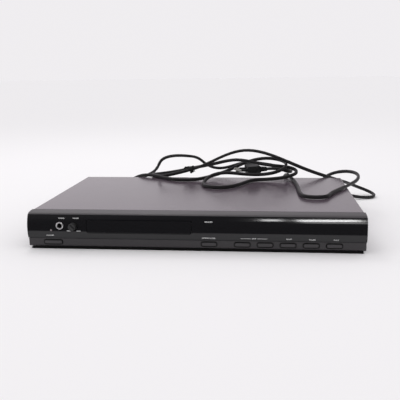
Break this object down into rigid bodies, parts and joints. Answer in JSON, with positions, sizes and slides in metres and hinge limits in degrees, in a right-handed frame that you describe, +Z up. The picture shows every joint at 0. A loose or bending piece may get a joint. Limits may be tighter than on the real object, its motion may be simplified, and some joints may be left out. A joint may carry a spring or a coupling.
{
  "type": "dvd player",
  "caption": "Slim disc player with a motor-driven tray, tilting disc drive, keys, volume knob, rear sockets and coiled mains lead.",
  "frame": {"origin": "on the table under the middle of the player's box, sockets and knob included, the lead left out", "axes": "+X to the right of someone facing the player, +Y to the back, +Z up"},
  "size_m": [0.4991, 0.3886, 0.0971],
  "materials": {
    "cover_paint": "fine matt texture",
    "bare_steel": "galvanised",
    "rear_paint": "matt",
    "front_moulding": "satin",
    "window_gloss": "glossy",
    "key_plastic": "satin",
    "knob_plastic": "satin",
    "bright_ring": "bright",
    "lamp_red": "translucent",
    "foot_rubber": "matt",
    "screw_black": "black",
    "screw_steel": "zinc",
    "board_green": "circuit board",
    "board_tan": "circuit board",
    "parts_black": "moulded",
    "display_glass": "smoked",
    "loader_plastic": "moulded",
    "tray_plastic": "satin",
    "gear_plastic": "moulded",
    "dark_plastic": "moulded",
    "motor_steel": "plated",
    "rod_steel": "ground",
    "turned_brass": "turned",
    "belt_rubber": "matt",
    "diecast": "cast",
    "lens_clear": "clear",
    "socket_gold": "plated",
    "cable_white": "flat cable",
    "lead_jacket": "flexible",
    "plug_moulding": "moulded",
    "pin_nickel": "nickel",
    "tie_white": "flexible"
  },
  "bodies": {
    "player": {"top_cover": "cover_paint", "chassis_pan": "bare_steel", "rear_panel": "rear_paint", "feet": "foot_rubber", "cover_screws": "screw_black", "front_bezel": "front_moulding", "front_window": "window_gloss", "volume_control": "motor_steel", "headphone_socket": "parts_black", "socket_ring": "bright_ring", "standby_lamp": "lamp_red", "left_key_board": "board_green", "right_key_board": "board_green", "key_switches": "parts_black", "display_glass": "display_glass", "infrared_sensor": "parts_black", "loader_frame": "loader_plastic", "clamp_bridge": "bare_steel", "loading_motor": "motor_steel", "loading_belt": "belt_rubber", "main_board": "board_green", "main_board_parts": "parts_black", "power_board": "board_tan", "power_board_parts": "parts_black", "flat_cables": "cable_white", "board_screws": "screw_steel", "phono_sockets": "socket_gold", "scart_socket": "parts_black", "svideo_socket": "parts_black", "optical_socket": "parts_black", "strain_relief": "plug_moulding", "mains_lead": "lead_jacket", "plug_body": "plug_moulding", "plug_pins": "pin_nickel", "lead_tie": "tie_white"},
    "tray": {"disc_tray": "tray_plastic", "tray_door": "window_gloss"},
    "tray_gear": {"tray_gear": "gear_plastic"},
    "pulley_gear": {"pulley_gear": "gear_plastic"},
    "motor_pulley": {"motor_pulley": "turned_brass"},
    "cam_slide": {"cam_slide": "gear_plastic"},
    "traverse": {"traverse_frame": "dark_plastic", "spindle_motor": "motor_steel", "guide_rods": "rod_steel", "feed_motor": "motor_steel"},
    "turntable": {"turntable": "dark_plastic"},
    "clamp": {"clamp_puck": "dark_plastic"},
    "pickup": {"pickup": "diecast", "pickup_lens": "lens_clear"},
    "feed_gear": {"feed_gear": "gear_plastic"},
    "feed_motor_pinion": {"feed_motor_pinion": "turned_brass"},
    "volume_knob": {"volume_knob": "knob_plastic", "volume_spindle": "rod_steel"},
    "power_button": {"power_button": "key_plastic"},
    "open_close_button": {"open_close_button": "key_plastic"},
    "skip_back_button": {"skip_back_button": "key_plastic"},
    "skip_forward_button": {"skip_forward_button": "key_plastic"},
    "stop_button": {"stop_button": "key_plastic"},
    "pause_button": {"pause_button": "key_plastic"},
    "play_button": {"play_button": "key_plastic"}
  },
  "joints": [
    {"name": "tray_slide", "type": "slide", "parent": "player", "child": "tray", "axis": [0, -1, 0], "range_m": [0, 0.135]},
    {"name": "tray_gear_spin", "type": "hinge", "parent": "player", "child": "tray_gear", "pos_m": [-0.11192, -0.10675, 0.015], "axis": [0, 0, 1], "range_deg": [0, 859.9]},
    {"name": "pulley_gear_spin", "type": "hinge", "parent": "player", "child": "pulley_gear", "pos_m": [-0.08944, -0.10675, 0.015], "axis": [0, 0, 1], "range_deg": [-3151.8, 0]},
    {"name": "motor_pulley_spin", "type": "hinge", "parent": "player", "child": "motor_pulley", "pos_m": [-0.05544, -0.10675, 0.0211], "axis": [0, 0, 1], "range_deg": [-8459.2, 0]},
    {"name": "cam_shift", "type": "slide", "parent": "player", "child": "cam_slide", "axis": [1, 0, 0], "range_m": [0, 0.02]},
    {"name": "traverse_tilt", "type": "hinge", "parent": "player", "child": "traverse", "pos_m": [-0.069, 0.03125, 0.0172], "axis": [1, 0, 0], "range_deg": [0, 4]},
    {"name": "turntable_spin", "type": "hinge", "parent": "traverse", "child": "turntable", "pos_m": [-0.069, -0.05875, 0.03], "axis": [0, 0, 1], "continuous": true},
    {"name": "clamp_spin", "type": "hinge", "parent": "player", "child": "clamp", "pos_m": [-0.069, -0.05875, 0.037], "axis": [0, 0, 1], "continuous": true},
    {"name": "pickup_slide", "type": "slide", "parent": "traverse", "child": "pickup", "axis": [0, 1, 0], "range_m": [0, 0.035]},
    {"name": "feed_gear_spin", "type": "hinge", "parent": "traverse", "child": "feed_gear", "pos_m": [-0.03272, -0.00975, 0.018], "axis": [0, 0, 1], "range_deg": [-418.3, 0]},
    {"name": "feed_motor_spin", "type": "hinge", "parent": "traverse", "child": "feed_motor_pinion", "pos_m": [-0.02037, -0.0184, 0.018], "axis": [0, 0, 1], "range_deg": [0, 1671.6]},
    {"name": "volume_turn", "type": "hinge", "parent": "player", "child": "volume_knob", "pos_m": [-0.1542, -0.13675, 0.031], "axis": [0, -1, 0], "range_deg": [-150, 150]},
    {"name": "power_press", "type": "slide", "parent": "player", "child": "power_button", "axis": [0, 1, 0], "range_m": [0, 0.0008], "stiffness_N_per_m": 400},
    {"name": "open_close_press", "type": "slide", "parent": "player", "child": "open_close_button", "axis": [0, 1, 0], "range_m": [0, 0.0008], "stiffness_N_per_m": 400},
    {"name": "skip_back_press", "type": "slide", "parent": "player", "child": "skip_back_button", "axis": [0, 1, 0], "range_m": [0, 0.0008], "stiffness_N_per_m": 400},
    {"name": "skip_forward_press", "type": "slide", "parent": "player", "child": "skip_forward_button", "axis": [0, 1, 0], "range_m": [0, 0.0008], "stiffness_N_per_m": 400},
    {"name": "stop_press", "type": "slide", "parent": "player", "child": "stop_button", "axis": [0, 1, 0], "range_m": [0, 0.0008], "stiffness_N_per_m": 400},
    {"name": "pause_press", "type": "slide", "parent": "player", "child": "pause_button", "axis": [0, 1, 0], "range_m": [0, 0.0008], "stiffness_N_per_m": 400},
    {"name": "play_press", "type": "slide", "parent": "player", "child": "play_button", "axis": [0, 1, 0], "range_m": [0, 0.0008], "stiffness_N_per_m": 400}
  ],
  "couplings": [
    {"joint": "tray_gear_spin", "follows": "tray_slide", "rad_per_m": 111.11},
    {"joint": "pulley_gear_spin", "follows": "tray_slide", "rad_per_m": -407.41},
    {"joint": "motor_pulley_spin", "follows": "tray_slide", "rad_per_m": -1093.6},
    {"joint": "cam_shift", "follows": "tray_slide", "ratio": 0.14815},
    {"joint": "traverse_tilt", "follows": "tray_slide", "rad_per_m": 0.51713},
    {"joint": "clamp_spin", "follows": "turntable_spin", "ratio": 1},
    {"joint": "feed_gear_spin", "follows": "pickup_slide", "rad_per_m": -208.33},
    {"joint": "feed_motor_spin", "follows": "pickup_slide", "rad_per_m": 833.33}
  ]
}
